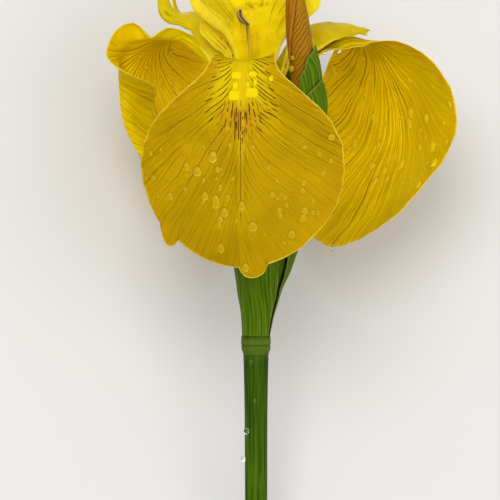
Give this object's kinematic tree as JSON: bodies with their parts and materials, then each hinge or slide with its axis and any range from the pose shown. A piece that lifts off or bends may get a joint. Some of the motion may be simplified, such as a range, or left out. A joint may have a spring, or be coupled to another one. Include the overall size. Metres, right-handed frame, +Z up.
{
  "type": "iris flower",
  "caption": "Open yellow flag iris with broad drooping petals, small inner petals and petal-like style arms, on a cut stem with a second bud in its green bracts.",
  "frame": {"origin": "on the surface the flower lies on, under the middle of its bounding box", "axes": "+Z up off the surface, +Y along the lying stem towards the flower's top, +X to the right as seen from above"},
  "size_m": [0.0886, 0.1912, 0.0735],
  "materials": {
    "petal_yellow": "soft satin petal, golden yellow with darker veins",
    "pale_yellow": "soft satin, lighter lemon yellow",
    "anther_brown": "matte dark brown",
    "bract_green": "satin leaf green with lengthwise veins",
    "stem_green": "smooth satin green",
    "bud_orange": "satin orange-brown with slanting veins"
  },
  "bodies": {
    "root": {"fall_front": "petal_yellow", "fall_right": "petal_yellow", "fall_left": "petal_yellow", "standard_right": "pale_yellow", "standard_left": "pale_yellow", "standard_back": "pale_yellow", "style_arm_front": "pale_yellow", "style_arm_right": "pale_yellow", "style_arm_left": "pale_yellow", "filament_front": "pale_yellow", "filament_right": "pale_yellow", "filament_left": "pale_yellow", "anther_front": "anther_brown", "anther_right": "anther_brown", "anther_left": "anther_brown", "flower_tube": "petal_yellow", "ovary": "bract_green", "stem": "stem_green", "bud": "bud_orange", "bud_bract": "bract_green", "inner_spathe": "bract_green", "outer_spathe": "bract_green"}
  },
  "joints": []
}
